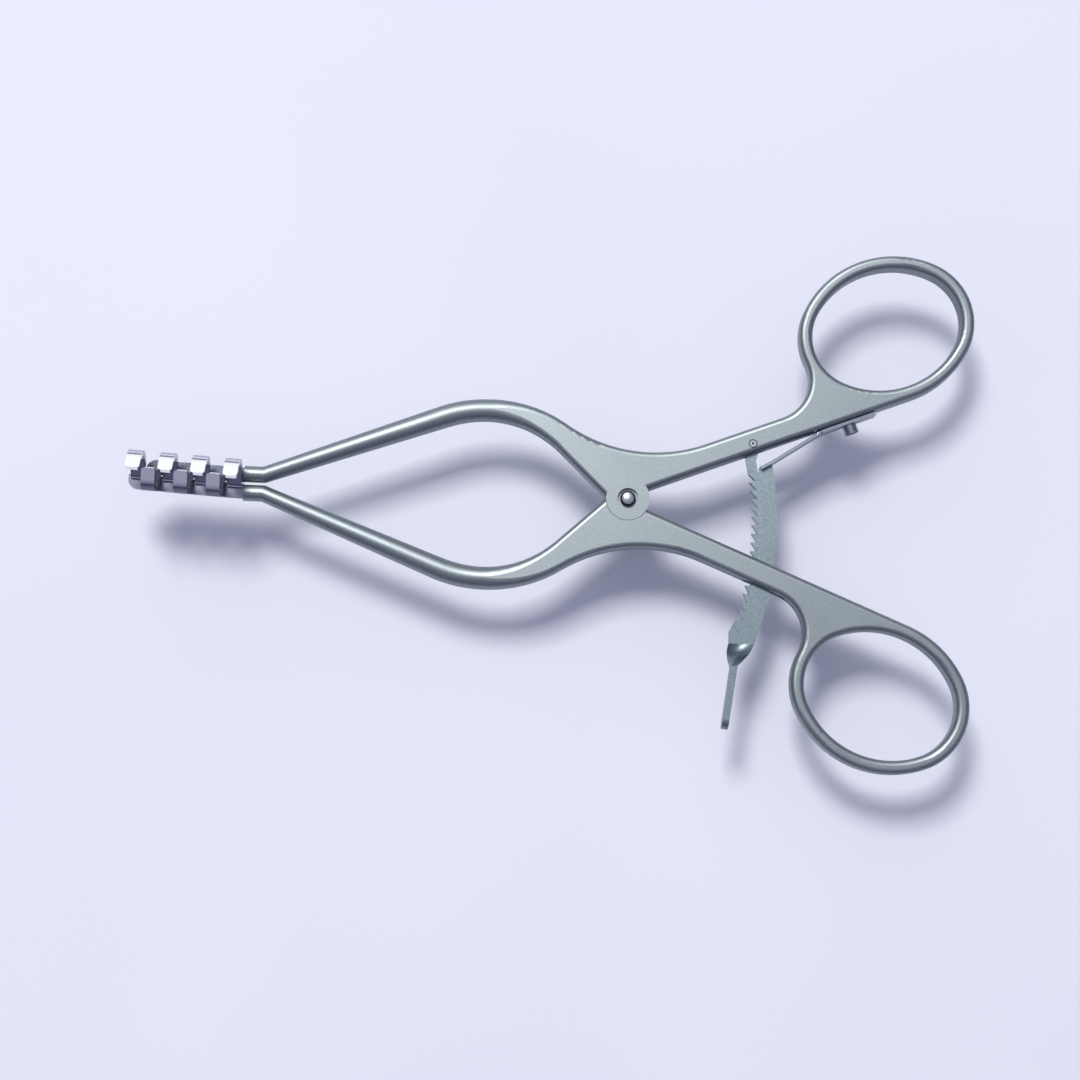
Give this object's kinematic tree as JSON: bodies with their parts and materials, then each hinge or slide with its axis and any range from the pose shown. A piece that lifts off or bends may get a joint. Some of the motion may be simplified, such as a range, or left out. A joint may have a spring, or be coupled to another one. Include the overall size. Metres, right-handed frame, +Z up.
{
  "type": "mastoid retractor",
  "caption": "Self-retaining mastoid retractor: ring-handled levers on a lap joint, interleaved hooked raking blades, a toothed ratchet bar with thumb release and a leaf spring.",
  "frame": {"origin": "on the pivot axis, in the plane of the joint's flat underside", "axes": "+X along the instrument from the pivot to the finger rings, +Y across it to the upper ring, +Z up, the way the prongs point"},
  "size_m": [0.155, 0.0964, 0.0098],
  "materials": {
    "lever_steel": "satin, bead blasted",
    "blade_steel": "satin with brightly polished tips",
    "screw_steel": "satin, bead blasted",
    "bar_steel": "fine-grained matt",
    "spring_steel": "satin, bead blasted"
  },
  "bodies": {
    "lower": {"lower_lever": "lever_steel", "four_prong_blade": "blade_steel", "pivot_screw": "screw_steel"},
    "upper": {"upper_lever": "lever_steel", "three_prong_blade": "blade_steel", "leaf_spring": "spring_steel", "spring_screw": "screw_steel"},
    "swivel": {"ratchet_pin": "screw_steel"},
    "ratchet": {"ratchet_bar": "bar_steel"}
  },
  "joints": [
    {"name": "jaw_pivot", "type": "hinge", "parent": "lower", "child": "upper", "pos_m": [0, 0, 0.0021], "axis": [0, 0, -1], "range_deg": [0, 30]},
    {"name": "ratchet_swing", "type": "hinge", "parent": "upper", "child": "swivel", "pos_m": [0.0226, 0.0112, 0.0021], "axis": [0, 0, 1], "range_deg": [0, 14.3], "deforming": ["leaf_spring"]},
    {"name": "ratchet_release", "type": "hinge", "parent": "swivel", "child": "ratchet", "pos_m": [0.0226, 0.0112, 0.0021], "axis": [0, 0, 1], "range_deg": [0, 5], "stiffness_Nm_per_rad": 0.00025, "springref_deg": -5.73, "deforming": ["leaf_spring"]}
  ],
  "couplings": [
    {"joint": "ratchet_swing", "follows": "jaw_pivot", "ratio": 0.475}
  ]
}
